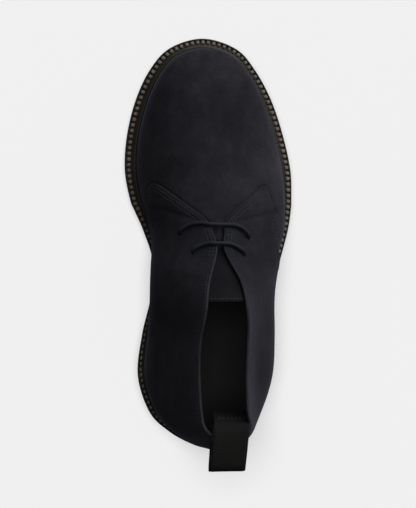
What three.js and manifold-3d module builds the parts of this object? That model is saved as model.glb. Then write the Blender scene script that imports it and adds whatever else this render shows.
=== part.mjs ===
// A right men's chukka boot in suede, wide fitting, standing empty on its sole: rubber outsole with a
// moulded heel, storm welt, insole, one-piece lasted upper open at the throat and collar, tongue,
// lace and webbing pull loop.
//
// Lengths are millimetres. The boot is worked out in its own shoe frame, in which x runs across to the
// outer (lateral) side, y runs from the back of the heel to the toe and z is up from the floor. The
// exported group turns that frame half round and puts the origin at the floor under the middle of the
// sole, so that the toe points along -Y and the outer side is on -X.
import * as THREE from "three";
import { mergeVertices } from "three/addons/utils/BufferGeometryUtils.js";
import Module from "manifold-3d";

const wasm = await Module();
wasm.setup();

// ---- Driving dimensions -------------------------------------------------------------------------
const SOLE_LENGTH = 302;
const SOLE_MIDDLE = 0.41; // the middle of the sole's width, to the lateral side of x = 0
const HEEL_SEAT = 28; // top of the welt at the heel
const BALL_SEAT = 16; // top of the welt at the ball
const TOE_SPRING = 10; // lift of the sole at the tip of the toe
const SEAT_END = 60; // the welt is level behind this station
const BALL_START = 185; // and from here to where the toe spring begins
const SPRING_START = 215;
const TREAD_START = 165; // the forefoot rests on the floor from here to SPRING_START
const HEEL_BREAST = 80;
const BREAST_HEIGHT = 13;
const WELT_THICKNESS = 3;
const STORM_RIDGE = { width: 2.6, height: 1.4 }; // the bead that hugs the upper
const WELT_EDGE_ROUND = 0.8;
const WALL = 2.4; // suede and lining together
const INSOLE_ABOVE_WELT = 1.2;
const GAP = 0.3; // between pieces that touch
const OUTSOLE_INSET = 1; // the welt stands out past the rubber
const LUG_RIM = 9; // plain rubber round the lugs
const GROOVE = { width: 4, depth: 2.6, pitch: 12 }; // between the sole's lugs
const TONGUE = { thickness: 2.2, clearance: 0.8, reach: 12, crown: 0.09, top: 6.35, root: 11.3 };
const LOOP = { width: 25, thickness: 1.6 };
const LACE_RADIUS = 1.35;
const EYELET_RADIUS = 1.9;

// One row for each section of the boot, from the back of the heel to the tip of the toe.
// along, medial, lateral: the sole's edge. ledge: how far the upper stands in from that edge.
// crown...: the upper's highest line, which is the collar, the facings or the ridge of the vamp, with
// half its gap and the surface's tilt there in degrees. full: how square the section is.
// bellyIn, bellyOut: how far the wall swells over the sole on the medial and lateral side.
const SECTION_COLUMNS = [
  "along", "medial", "lateral", "ledge", "crownAlong", "crownMid", "crownGap", "crownHeight", "crownTilt",
  "full", "bellyIn", "bellyOut",
];
const SECTIONS = [
  [0, -1, -1, 5, 14.8, 1.5, 0, 116, 72, 0.45, 5, 5],
  [3.3, -14, 12, 5, 16.6, 1.2, 11.2, 115.5, 74, 0.45, 6, 7],
  [12.5, -30.5, 26, 5, 23, 0, 17, 114, 76, 0.45, 9, 7],
  [27, -45, 36.5, 5.5, 35, -2, 17.3, 111.5, 80, 0.45, 10, 9.5],
  [54, -53.6, 41, 6, 58, -2.7, 17.6, 108.5, 82, 0.45, 11, 22.5],
  [84, -50.3, 42, 6, 82, -2.2, 17.5, 110, 80, 0.46, 16, 24],
  [112, -43.5, 46, 6.5, 104, -1.2, 15.2, 117, 70, 0.48, 28, 14.5],
  [138, -41.8, 53.5, 7, 124, -0.7, 11.6, 107, 50, 0.5, 29, 6.5],
  [160, -48.3, 59.8, 7.5, 146, -1.6, 2.9, 91.5, 24, 0.52, 15, 8],
  [174, -54.3, 62.2, 8, 160, -2, 3.9, 83, 14, 0.53, 8, 7],
  [184, -58.3, 62.9, 8, 167, -2, 0, 79, 0, 0.55, 6, 6],
  [206, -62.1, 62.1, 8.5, 188, -2.6, 0, 69.3, 0, 0.58, 4, 4],
  [232, -60.3, 56.3, 8.5, 212, -3.4, 0, 62.3, 0, 0.6, 4, 4],
  [258, -53.8, 47, 8.5, 235, -4.2, 0, 57.8, 0, 0.62, 4, 4],
  [280, -43.4, 34.2, 8.3, 252, -4.8, 0, 55, 0, 0.64, 4, 4],
  [295, -29.3, 19.5, 8, 260, -5.2, 0, 53.4, 0, 0.66, 4, 4],
  [302, -5.3, -5.3, 8, 262.5, -5.4, 0, 52.9, 0, 0.66, 4, 4],
].map((row) => Object.fromEntries(SECTION_COLUMNS.map((name, i) => [name, row[i]])));
const TIP = SECTIONS.length - 1;
const THROAT = 10; // the row where the facings meet
const NEAR = 0.02; // a small step along the ring, for reading directions
const BEYOND = 200; // reaches past the boot on every side, for cutting boxes
const STEPS_A_ROW = 3; // mesh columns between two rows
const WALL_STEPS = 10; // mesh rows from welt to crown

// ---- Lines of the boot --------------------------------------------------------------------------
const smooth = (t) => t * t * (3 - 2 * t);
const clamp01 = (t) => Math.min(1, Math.max(0, t));
const lift = (y) => TOE_SPRING * clamp01((y - SPRING_START) / (SOLE_LENGTH - SPRING_START)) ** 2;

// Height of the welt's top face at a station.
const weltTop = (y) =>
  HEEL_SEAT + (BALL_SEAT - HEEL_SEAT) * smooth(clamp01((y - SEAT_END) / (BALL_START - SEAT_END))) + lift(y);

// Height of the outsole's top face, which carries welt, upper and insole.
const soleTop = (y) => weltTop(y) - WELT_THICKNESS - GAP;

// Uniform Catmull-Rom through a closed ring of values.
function ringValue(values, k) {
  const n = values.length;
  const i = Math.floor(k);
  const t = k - i;
  const [a, b, c, d] = [-1, 0, 1, 2].map((j) => values[(((i + j) % n) + n) % n]);
  const square = (2 * a - 5 * b + 4 * c - d) * t * t;
  return 0.5 * (2 * b + (c - a) * t + square + (3 * b - a - 3 * c + d) * t * t * t);
}

// A ring runs from the heel along the lateral side to the toe and back along the medial side, so row r
// stands at r on the lateral side and at 2 * TIP - r on the medial side.
const ringOf = (lateral, medial) => [
  ...SECTIONS.map(lateral),
  ...SECTIONS.slice(1, TIP)
    .reverse()
    .map(medial),
];
const same = (read) => ringOf(read, read);
const RINGS = {
  edgeX: ringOf((s) => s.lateral, (s) => s.medial),
  edgeY: same((s) => s.along),
  ledge: same((s) => s.ledge),
  crownMid: same((s) => s.crownMid),
  crownX: ringOf((s) => s.crownMid + s.crownGap, (s) => s.crownMid - s.crownGap),
  crownY: same((s) => s.crownAlong),
  crownZ: same((s) => s.crownHeight),
  crownTilt: same((s) => s.crownTilt),
  full: same((s) => s.full),
  belly: ringOf((s) => s.bellyOut, (s) => s.bellyIn),
};
const RING = 2 * TIP;
const rowOf = (k) => TIP - Math.abs(TIP - (((k % RING) + RING) % RING));

const edgePoint = (k) => new THREE.Vector2(ringValue(RINGS.edgeX, k), ringValue(RINGS.edgeY, k));

// Unit vector out of the sole's edge, in plan.
function edgeNormal(k) {
  const along = edgePoint(k + NEAR).sub(edgePoint(k - NEAR)).normalize();
  return new THREE.Vector2(along.y, -along.x);
}

// A point of the outline that stands in from the sole's edge by the given distance.
const insetPoint = (k, inset) => edgePoint(k).addScaledVector(edgeNormal(k), -inset);

// Where the upper leaves the welt.
function footPoint(k) {
  const p = insetPoint(k, ringValue(RINGS.ledge, k));
  return new THREE.Vector3(p.x, p.y, weltTop(p.y));
}

function crownPoint(k) {
  const x = ringValue(rowOf(k) < THROAT ? RINGS.crownX : RINGS.crownMid, k);
  return new THREE.Vector3(x, ringValue(RINGS.crownY, k), ringValue(RINGS.crownZ, k));
}

// The section at k as a Bezier curve from the welt over the belly to the crown.
function sectionCurve(k) {
  const foot = footPoint(k);
  const crown = crownPoint(k);
  const full = ringValue(RINGS.full, k);
  const tilt = THREE.MathUtils.degToRad(ringValue(RINGS.crownTilt, k));
  const rise = crown.z - foot.z;
  const out = edgeNormal(k);
  const inward = new THREE.Vector3(crown.x - foot.x, crown.y - foot.y, 0);
  const span = inward.length();
  inward.normalize();
  const row = THREE.MathUtils.clamp(rowOf(k), 1.5 * NEAR, TIP - 1.5 * NEAR);
  const [before, after] = [crownPoint(row - NEAR), crownPoint(row + NEAR)];
  const slope = (after.z - before.z) / (after.y - before.y);
  const overRidge = inward.clone().setZ(inward.y * slope * Math.cos(tilt));
  const arrive = overRidge
    .multiplyScalar(Math.cos(tilt))
    .add(new THREE.Vector3(0, 0, Math.sin(tilt)))
    .normalize();
  const reach = full * (span * Math.cos(tilt) + rise * Math.sin(tilt));
  const belly = ringValue(RINGS.belly, k);
  const lower = foot.clone().add(new THREE.Vector3(out.x * belly, out.y * belly, full * rise));
  const upper = crown.clone().addScaledVector(arrive, -reach);
  return new THREE.CubicBezierCurve3(foot, lower, upper, crown);
}

// A point of the upper at ring position k, a distance down the section from the crown, moved in by
// the given depth along the skin's normal.
function underCrown(k, arc, depth) {
  const curve = sectionCurve(k);
  const t = curve.getUtoTmapping(1 - arc / curve.getLength());
  const along = sectionCurve(k + NEAR).getPoint(t).sub(sectionCurve(k - NEAR).getPoint(t));
  const normal = along.cross(curve.getTangent(t)).normalize();
  return curve.getPoint(t).addScaledVector(normal, -depth);
}

// ---- Solids -------------------------------------------------------------------------------------
function geometryOf(vertices, triangles) {
  const geometry = new THREE.BufferGeometry();
  const numbers = vertices.flatMap((v) => v.toArray());
  geometry.setAttribute("position", new THREE.Float32BufferAttribute(numbers, 3));
  geometry.setIndex(triangles.flat());
  return geometry;
}

// Any closed geometry as a manifold-3d solid.
function solidOf(geometry) {
  const bare = new THREE.BufferGeometry();
  bare.setAttribute("position", geometry.getAttribute("position"));
  bare.setIndex(geometry.getIndex());
  const merged = mergeVertices(bare, 1e-3);
  return new wasm.Manifold(
    new wasm.Mesh({
      numProp: 3,
      vertProperties: merged.attributes.position.array,
      triVerts: new Uint32Array(merged.index.array),
    }),
  );
}

function geometryFrom(solid) {
  const mesh = solid.getMesh();
  const geometry = new THREE.BufferGeometry();
  geometry.setAttribute("position", new THREE.BufferAttribute(mesh.vertProperties, 3));
  geometry.setIndex(new THREE.BufferAttribute(mesh.triVerts, 1));
  return geometry;
}

// A closed solid from rings of points, ring i joined to ring i + 1. A ring goes out along one side of
// the section and comes back along the other, so the ends are closed between the two sides.
// endless joins the last ring to the first instead.
function loft(rings, endless = false) {
  const m = rings[0].length;
  const triangles = [];
  const quad = (a, b, c, d) => triangles.push([a, c, b], [a, d, c]);
  const last = endless ? rings.length : rings.length - 1;
  for (let i = 0; i < last; i++) {
    const [a, b] = [i * m, ((i + 1) % rings.length) * m];
    for (let j = 0; j < m; j++) quad(a + j, a + ((j + 1) % m), b + ((j + 1) % m), b + j);
  }
  const end = (rings.length - 1) * m;
  if (!endless)
    for (let j = 0; j < m / 2 - 1; j++) {
      quad(m - 1 - j, m - 2 - j, j + 1, j);
      quad(end + j, end + j + 1, end + m - 2 - j, end + m - 1 - j);
    }
  return geometryOf(rings.flat(), triangles);
}

// A plate that fills the sole's outline, moved in by inset, between two heights along the boot.
const PLATE_STEPS = 48;
function plate(inset, bottom, top) {
  const rings = [];
  for (let i = 1; i < PLATE_STEPS; i++) {
    const k = (TIP * (1 - Math.cos((Math.PI * i) / PLATE_STEPS))) / 2;
    const [outer, inner] = [insetPoint(k, inset(k)), insetPoint(RING - k, inset(RING - k))];
    rings.push([
      new THREE.Vector3(outer.x, outer.y, bottom(outer.y)),
      new THREE.Vector3(outer.x, outer.y, top(outer.y)),
      new THREE.Vector3(inner.x, inner.y, top(inner.y)),
      new THREE.Vector3(inner.x, inner.y, bottom(inner.y)),
    ]);
  }
  return loft(rings);
}

function box(sizeX, sizeY, sizeZ, y, z) {
  const geometry = new THREE.BoxGeometry(sizeX, sizeY, sizeZ);
  geometry.translate(0, y, z);
  return geometry;
}

// Underside of the sole in front of the heel: the arched waist, the flat tread and the toe spring.
function underside(y) {
  const share = clamp01((y - HEEL_BREAST) / (TREAD_START - HEEL_BREAST));
  return BREAST_HEIGHT * (1 - smooth(share)) + lift(y);
}

// The outsole and its heel, moulded in one, with lugs under the tread and the heel.
function outsoleGeometry() {
  const inset = () => OUTSOLE_INSET;
  const forepart = solidOf(plate(inset, underside, soleTop));
  const heelBlock = solidOf(plate(inset, () => 0, () => BREAST_HEIGHT + 1));
  const heel = heelBlock.intersect(solidOf(box(BEYOND, 2 * HEEL_BREAST, BEYOND, 0, 0)));
  const lugged = solidOf(plate(() => LUG_RIM, () => -GROOVE.depth, () => HEEL_SEAT / 2));
  let sole = forepart.add(heel);
  const cutAt = (y) => {
    const groove = solidOf(box(BEYOND, GROOVE.width, 2 * GROOVE.depth, y, lift(y)));
    sole = sole.subtract(groove.intersect(lugged));
  };
  for (let y = GROOVE.pitch * 1.5; y < HEEL_BREAST - GROOVE.width; y += GROOVE.pitch) cutAt(y);
  for (let y = TREAD_START + GROOVE.pitch / 2; y < SOLE_LENGTH - GROOVE.pitch; y += GROOVE.pitch) cutAt(y);
  return geometryFrom(sole);
}

// The welt runs all round the upper, with a storm ridge that leans against it.
function weltGeometry() {
  const rings = [];
  for (let i = 0; i < RING * STEPS_A_ROW; i++) {
    const k = i / STEPS_A_ROW;
    const inner = ringValue(RINGS.ledge, k) - GAP;
    const curve = sectionCurve(k);
    const swell = Math.max(0, ringValue(RINGS.belly, k) / (curve.v1.z - curve.v0.z));
    const at = (inset, height) => {
      const p = insetPoint(k, inset);
      return new THREE.Vector3(p.x, p.y, weltTop(p.y) + height);
    };
    rings.push([
      at(0, -WELT_THICKNESS),
      at(0, -WELT_EDGE_ROUND),
      at(WELT_EDGE_ROUND, 0),
      at(inner - STORM_RIDGE.width - swell * STORM_RIDGE.height, 0),
      at(inner - STORM_RIDGE.width / 2 - swell * STORM_RIDGE.height, STORM_RIDGE.height),
      at(inner - swell * STORM_RIDGE.height, STORM_RIDGE.height),
      at(inner, 0),
      at(inner, -WELT_THICKNESS),
    ]);
  }
  return loft(rings, true);
}

function insoleGeometry() {
  const inset = (k) => ringValue(RINGS.ledge, k) + WALL + 2 * GAP;
  return plate(inset, (y) => soleTop(y) + GAP, (y) => weltTop(y) + INSOLE_ABOVE_WELT);
}

// The lasted upper: its outer skin, the same skin moved in by the wall, and the rims between them.
function upperGeometry() {
  const columns = RING * STEPS_A_ROW;
  const height = WALL_STEPS + 2;
  const outer = [];
  for (let i = 0; i < columns; i++) {
    const curve = sectionCurve(i / STEPS_A_ROW);
    outer.push(curve.v0.clone().setZ(soleTop(curve.v0.y) + GAP));
    for (let j = 0; j <= WALL_STEPS; j++) outer.push(curve.getPoint(j / WALL_STEPS));
  }
  // Both halves of the vamp share the ridge, so the medial half takes the lateral half's points.
  const throat = THROAT * STEPS_A_ROW;
  const twin = (i) => (columns - i) % columns;
  const shared = outer.map((_, v) => {
    const [i, j] = [Math.floor(v / height), v % height];
    return j === height - 1 && i > columns / 2 && twin(i) >= throat ? twin(i) * height + j : v;
  });
  const skin = [];
  for (let i = 0; i < columns; i++)
    for (let j = 0; j < height - 1; j++) {
      const [a, b] = [i * height + j, ((i + 1) % columns) * height + j];
      for (const triangle of [[a, b, b + 1], [a, b + 1, a + 1]]) {
        const [p, q, r] = triangle.map((v) => shared[v]);
        if (p !== q && q !== r && r !== p) skin.push([p, q, r]);
      }
    }
  const outside = geometryOf(outer, skin);
  outside.computeVertexNormals();
  const normals = outside.getAttribute("normal");
  const inner = outer.map((p, v) => {
    const normal = new THREE.Vector3().fromBufferAttribute(normals, shared[v]);
    if (v % height === 0) normal.setZ(0).normalize();
    return p.clone().addScaledVector(normal, -WALL);
  });
  const count = outer.length;
  const triangles = [...skin, ...skin.map(([a, b, c]) => [a + count, c + count, b + count])];
  const rim = (a, b) => triangles.push([a, b + count, b], [a, a + count, b + count]);
  for (let i = 0; i < columns; i++) {
    const next = (i + 1) % columns;
    rim(i * height, next * height);
    const [row, nextRow] = [Math.min(i, twin(i)), Math.min(next, twin(next))];
    const top = (column) => shared[column * height + height - 1];
    if (Math.min(row, nextRow) < throat) rim(top(next), top(i));
  }
  return geometryOf([...outer, ...inner], triangles);
}

// The tongue lies under the facings and follows the upper's own curve, with a crown between them.
const TONGUE_STEPS = 15;
const TONGUE_SHARES = [1, 0.6, 0.2]; // of its reach under the facing
function tongueGeometry() {
  const rings = [];
  for (let i = 0; i <= TONGUE_STEPS; i++) {
    const k = TONGUE.top + ((TONGUE.root - TONGUE.top) * i) / TONGUE_STEPS;
    const layer = (depth) => {
      const outer = TONGUE_SHARES.map((share) => underCrown(k, share * TONGUE.reach, depth));
      const inner = TONGUE_SHARES.map((share) => underCrown(RING - k, share * TONGUE.reach, depth)).reverse();
      const ridge = outer[2].clone().add(inner[0]).multiplyScalar(0.5);
      ridge.z += TONGUE.crown * outer[2].distanceTo(inner[0]);
      return [...outer, ridge, ...inner];
    };
    const top = layer(WALL + TONGUE.clearance);
    rings.push([...top, ...layer(WALL + TONGUE.clearance + TONGUE.thickness).reverse()]);
  }
  return loft(rings);
}

// The webbing of the pull loop, from its end inside the collar, up and back over the collar to the
// fold, then down to where it is sewn on the back of the boot. out, rise and across are measured from
// the back of the collar, and straight says how little the strap follows the collar's round.
const LOOP_COLUMNS = ["out", "rise", "across", "straight"];
const LOOP_ROUTE = [
  [-16, -28, -1.6, 0.7],
  [-13, -17, -1.4, 0.6],
  [-10.4, -7, -1, 0.5],
  [-7.4, 0.6, -0.4, 0.2],
  [-3, 5, 0, 0.2],
  [5, 8.8, 0, 0.7],
  [10.6, 11.2, 0, 1],
  [12.9, 11.2, 0, 1],
  [13.7, 9.2, 0, 1],
  [12.4, 6.4, 0, 1],
  [8.8, 2.6, 0, 0.7],
  [4.4, -3.4, 0, 0.1],
].map((row) => Object.fromEntries(LOOP_COLUMNS.map((name, i) => [name, row[i]])));
const LOOP_SEWN = [9, 16, 24, 32]; // distances below the collar
const HALVINGS = 24; // of the search for a place across the strap
const LOOP_SPREAD = [-1, -0.67, -0.33, 0, 0.33, 0.67, 1];

function pullLoopGeometry() {
  const back = crownPoint(0);
  // Ring position whose skin, this far below the collar, lies this far across.
  const ringAt = (x, arc) => {
    let [low, high] = [-3, 3];
    for (let i = 0; i < HALVINGS; i++) {
      const middle = (low + high) / 2;
      if (underCrown(middle, arc, 0).x < back.x + x) low = middle;
      else high = middle;
    }
    return low;
  };
  const spread = LOOP_SPREAD.map((u) => (u * LOOP.width) / 2);
  const middles = LOOP_ROUTE.map(({ out, rise, across, straight }) =>
    spread.map((x) => {
      const round = crownPoint(ringAt(x, 0)).y;
      return new THREE.Vector3(back.x + x + across, round + (back.y - round) * straight - out, back.z + rise);
    }),
  );
  for (const arc of LOOP_SEWN)
    middles.push(spread.map((x) => underCrown(ringAt(x, arc), arc, -3 * GAP - LOOP.thickness / 2)));
  const rings = middles.map((row, i) => {
    const [before, after] = [middles[Math.max(0, i - 1)], middles[Math.min(middles.length - 1, i + 1)]];
    const side = (sign) =>
      row.map((p, j) => {
        const along = after[j].clone().sub(before[j]);
        const across = row[Math.min(j + 1, row.length - 1)].clone().sub(row[Math.max(j - 1, 0)]);
        const normal = across.cross(along).normalize();
        return p.clone().addScaledVector(normal, (sign * LOOP.thickness) / 2);
      });
    return [...side(-1), ...side(1).reverse()];
  });
  return loft(rings);
}

// The two bars of the lace. eyelet and bow are ring rows: the lace leaves the eyelet and bows towards
// the toe in the middle. lateral and medial say how far each eyelet stands from its facing's edge.
const LACES = [
  { name: "lace_front", eyelet: 8.22, bow: 9.75, lateral: 23, medial: 31 },
  { name: "lace_rear", eyelet: 7.66, bow: 8.35, lateral: 16, medial: 20 },
];
const LACE_SHARES = [1, 0.8, 0.55, 0.3, 0.1];
const LACE_CLEARANCE = 0.8; // under the lace, over the skin
const LACE_BOW = 1.4; // how flat the lace's middle is
const LACE_STEPS = 18;
const PUNCH_REACH = 3; // past the wall on both sides

// A point of the lace's line or of an eyelet: how far down its side, and how high over the skin.
function lacePoint(lace, side, row, share, depth) {
  return underCrown(side === "lateral" ? row : RING - row, share * lace[side], depth);
}

function laceGeometry(lace) {
  const above = -(LACE_RADIUS + LACE_CLEARANCE);
  const half = (side) =>
    LACE_SHARES.map((share) => {
      const row = lace.bow + (lace.eyelet - lace.bow) * share ** LACE_BOW;
      return lacePoint(lace, side, row, share, above);
    });
  const route = new THREE.CatmullRomCurve3([...half("lateral"), ...half("medial").reverse()]);
  const circle = new THREE.Shape().absarc(0, 0, LACE_RADIUS, 0, 2 * Math.PI);
  return new THREE.ExtrudeGeometry(circle, { steps: LACE_STEPS, curveSegments: 4, extrudePath: route });
}

// A pin square to the skin at an eyelet, which punches its hole.
function punch(lace, side) {
  const from = lacePoint(lace, side, lace.eyelet, 1, -PUNCH_REACH);
  const to = lacePoint(lace, side, lace.eyelet, 1, WALL + PUNCH_REACH);
  const pin = new THREE.CylinderGeometry(EYELET_RADIUS, EYELET_RADIUS, from.distanceTo(to), 12);
  const up = new THREE.Vector3(0, 1, 0);
  pin.applyQuaternion(new THREE.Quaternion().setFromUnitVectors(up, from.clone().sub(to).normalize()));
  pin.translate(...from.add(to).multiplyScalar(0.5).toArray());
  return solidOf(pin);
}

// ---- Assembly -----------------------------------------------------------------------------------
const boot = new THREE.Group();
boot.rotation.z = Math.PI;
boot.position.set(SOLE_MIDDLE, SOLE_LENGTH / 2, 0);

function add(name, geometry, color, roughness) {
  const mesh = new THREE.Mesh(geometry, new THREE.MeshStandardMaterial({ color, roughness, metalness: 0 }));
  mesh.name = name;
  boot.add(mesh);
}

const SUEDE = 0x232433;
let upper = solidOf(upperGeometry());
for (const lace of LACES)
  for (const side of ["lateral", "medial"]) upper = upper.subtract(punch(lace, side));

add("outsole", outsoleGeometry(), 0x14120f, 0.7);
add("welt", weltGeometry(), 0x2a241d, 0.6);
add("insole", insoleGeometry(), 0x0e0e0e, 0.65);
add("upper", geometryFrom(upper), SUEDE, 0.95);
add("tongue", tongueGeometry(), SUEDE, 0.95);
add("pull_loop", pullLoopGeometry(), 0x151513, 0.85);
for (const lace of LACES) add(lace.name, laceGeometry(lace), 0x20222c, 0.8);

export default boot;
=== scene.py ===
"""The looks of a right men's chukka boot in navy suede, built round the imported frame.

Lengths are millimetres in the boot's own shoe frame: x runs across to the outer (lateral) side, y from
the back of the heel to the toe and z up from the floor. to_row() turns them into the frame's metres.
"""
import math

import bmesh
import bpy
import numpy as np
from mathutils import Matrix, Vector


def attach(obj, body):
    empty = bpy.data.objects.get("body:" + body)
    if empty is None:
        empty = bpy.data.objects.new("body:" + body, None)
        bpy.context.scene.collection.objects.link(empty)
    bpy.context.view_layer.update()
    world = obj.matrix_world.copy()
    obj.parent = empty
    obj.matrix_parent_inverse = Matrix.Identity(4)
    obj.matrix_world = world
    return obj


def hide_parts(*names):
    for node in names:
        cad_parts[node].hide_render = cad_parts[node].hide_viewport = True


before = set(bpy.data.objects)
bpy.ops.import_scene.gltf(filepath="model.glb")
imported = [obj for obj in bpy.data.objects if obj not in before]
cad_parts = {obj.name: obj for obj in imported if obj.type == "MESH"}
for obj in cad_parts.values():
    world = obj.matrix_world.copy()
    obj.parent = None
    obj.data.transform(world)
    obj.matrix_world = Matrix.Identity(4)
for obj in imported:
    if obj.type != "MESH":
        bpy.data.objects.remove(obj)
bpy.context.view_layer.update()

RANDOM = np.random.default_rng(11)

# ---- Sizes, the same as the frame's
SOLE_LENGTH = 302
SOLE_MIDDLE = 0.41
HEEL_SEAT = 28  # top of the welt at the heel
BALL_SEAT = 16  # and at the ball
TOE_SPRING = 10
SEAT_END = 60
BALL_START = 185
SPRING_START = 215
TREAD_START = 165
HEEL_BREAST = 80
BREAST_HEIGHT = 13
WELT_THICKNESS = 3
GAP = 0.3
WALL = 2.4  # suede and lining together
SUEDE = 1.4  # the suede alone
OVERLAP = 1.0  # how far the quarters stand proud of the vamp at the seam
INSOLE_ABOVE_WELT = 1.2
TONGUE_THICKNESS = 2.2
LACE_RADIUS = 1.35
EYELET_RADIUS = 1.9

# The sections of the upper, from the back of the heel to the tip of the toe, as in the frame.
COLUMNS = (
    "along", "medial", "lateral", "ledge", "crown_along", "crown_mid", "crown_gap", "crown_height",
    "tilt", "full", "belly_in", "belly_out",
)
SECTIONS = np.array([
    (0, -1, -1, 5, 14.8, 1.5, 0, 116, 72, 0.45, 5, 5),
    (3.3, -14, 12, 5, 16.6, 1.2, 11.2, 115.5, 74, 0.45, 6, 7),
    (12.5, -30.5, 26, 5, 23, 0, 17, 114, 76, 0.45, 9, 7),
    (27, -45, 36.5, 5.5, 35, -2, 17.3, 111.5, 80, 0.45, 10, 9.5),
    (54, -53.6, 41, 6, 58, -2.7, 17.6, 108.5, 82, 0.45, 11, 22.5),
    (84, -50.3, 42, 6, 82, -2.2, 17.5, 110, 80, 0.46, 16, 24),
    (112, -43.5, 46, 6.5, 104, -1.2, 15.2, 117, 70, 0.48, 28, 14.5),
    (138, -41.8, 53.5, 7, 124, -0.7, 11.6, 107, 50, 0.5, 29, 6.5),
    (160, -48.3, 59.8, 7.5, 146, -1.6, 2.9, 91.5, 24, 0.52, 15, 8),
    (174, -54.3, 62.2, 8, 160, -2, 3.9, 83, 14, 0.53, 8, 7),
    (184, -58.3, 62.9, 8, 167, -2, 0, 79, 0, 0.55, 6, 6),
    (206, -62.1, 62.1, 8.5, 188, -2.6, 0, 69.3, 0, 0.58, 4, 4),
    (232, -60.3, 56.3, 8.5, 212, -3.4, 0, 62.3, 0, 0.6, 4, 4),
    (258, -53.8, 47, 8.5, 235, -4.2, 0, 57.8, 0, 0.62, 4, 4),
    (280, -43.4, 34.2, 8.3, 252, -4.8, 0, 55, 0, 0.64, 4, 4),
    (295, -29.3, 19.5, 8, 260, -5.2, 0, 53.4, 0, 0.66, 4, 4),
    (302, -5.3, -5.3, 8, 262.5, -5.4, 0, 52.9, 0, 0.66, 4, 4),
])
TIP = len(SECTIONS) - 1
RING = 2 * TIP
BESIDE_TIP = 0.05  # rows from the very tip, where the ridge has no direction
ON_RIDGE = 0.999  # t from which a place counts as on the crown
THROAT = 10  # the row where the facings meet
K_STEP = 0.02  # small steps along the ring and up the section, for reading directions
T_STEP = 0.004

# ---- Lines of the boot


def unit(v):
    return v / np.maximum(np.linalg.norm(v, axis=-1, keepdims=True), 1e-12)


def smooth(t):
    t = np.clip(t, 0, 1)
    return t * t * (3 - 2 * t)


def bell(distance, half):
    return np.exp(-((distance / half) ** 2))


def at_height(plan, z):
    return np.concatenate([plan, np.asarray(z)[..., None]], -1)


def run_along(line):
    """The length of the line up to each of its points."""
    return np.concatenate([[0], np.cumsum(np.linalg.norm(np.diff(line, axis=0), axis=1))])


def read(values, run, at):
    return np.stack([np.interp(at, run, column) for column in values.T], -1)


def cubic(a, b, c, d, t):
    """Uniform Catmull-Rom between b and c."""
    top = (3 * b - a - 3 * c + d) * t**3
    return 0.5 * (2 * b + (c - a) * t + (2 * a - 5 * b + 4 * c - d) * t * t + top)


def on_side(row, side):
    """The ring position of a row on the lateral or the medial side."""
    return row if side == "lateral" else RING - row


def lift(y):
    return TOE_SPRING * np.clip((y - SPRING_START) / (SOLE_LENGTH - SPRING_START), 0, 1) ** 2


def welt_top(y):
    return HEEL_SEAT + (BALL_SEAT - HEEL_SEAT) * smooth((y - SEAT_END) / (BALL_START - SEAT_END)) + lift(y)


def sole_top(y):
    return welt_top(y) - WELT_THICKNESS - GAP


def underside(y):
    return BREAST_HEIGHT * (1 - smooth((y - HEEL_BREAST) / (TREAD_START - HEEL_BREAST))) + lift(y)


def ring_of(lateral, medial):
    return np.concatenate([lateral, medial[1:TIP][::-1]])


def make_rings():
    s = dict(zip(COLUMNS, SECTIONS.T))
    rings = {name: ring_of(s[name], s[name]) for name in s}
    rings["edge_x"] = ring_of(s["lateral"], s["medial"])
    rings["crown_x"] = ring_of(s["crown_mid"] + s["crown_gap"], s["crown_mid"] - s["crown_gap"])
    rings["belly"] = ring_of(s["belly_out"], s["belly_in"])
    return rings


RINGS = make_rings()


def ring_value(name, k):
    values = RINGS[name]
    k = np.asarray(k, float)
    i = np.floor(k).astype(int)
    return cubic(*[values[(i + j) % len(values)] for j in (-1, 0, 1, 2)], k - i)


def row_of(k):
    return TIP - np.abs(TIP - np.mod(k, RING))


def edge(k):
    return np.stack([ring_value("edge_x", k), ring_value("along", k)], -1)


def edge_normal(k):
    along = unit(edge(k + K_STEP) - edge(k - K_STEP))
    return np.stack([along[..., 1], -along[..., 0]], -1)


def inset(k, distance):
    return edge(k) - edge_normal(k) * np.asarray(distance)[..., None]


def crown(k, joined):
    x = np.where((row_of(k) < THROAT) & (not joined), ring_value("crown_x", k), ring_value("crown_mid", k))
    return np.stack([x, ring_value("crown_along", k), ring_value("crown_height", k)], -1)


def skin(k, t, joined=False):
    """The upper's outer surface at ring position k, from the welt (t = 0) to the crown (t = 1).
    joined closes the throat, as the vamp does under the facings."""
    k, t = np.broadcast_arrays(np.asarray(k, float), np.asarray(t, float))
    out = edge_normal(k)
    base = inset(k, ring_value("ledge", k))
    foot = at_height(base, welt_top(base[..., 1]))
    top = crown(k, joined)
    tilt = np.radians(ring_value("tilt", k))
    ct, st = np.cos(tilt), np.sin(tilt)
    rise = top[..., 2] - foot[..., 2]
    inward = (top - foot)[..., :2]
    span = np.linalg.norm(inward, axis=-1)
    inward = inward / span[..., None]
    row = np.clip(row_of(k), 0.03, TIP - 0.03)
    step = crown(row + K_STEP, joined) - crown(row - K_STEP, joined)
    slope = step[..., 2] / step[..., 1]
    height = inward[..., 1] * slope * ct * ct + st
    arrive = unit(at_height(inward * ct[..., None], height))
    full = ring_value("full", k)
    swell = at_height(out * ring_value("belly", k)[..., None], full * rise)
    low = foot + swell
    high = top - arrive * (full * (span * ct + rise * st))[..., None]
    s = 1 - t
    weights = (s**3, 3 * s * s * t, 3 * s * t * t, t**3)
    return sum(w[..., None] * p for w, p in zip(weights, (foot, low, high, top)))


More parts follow.
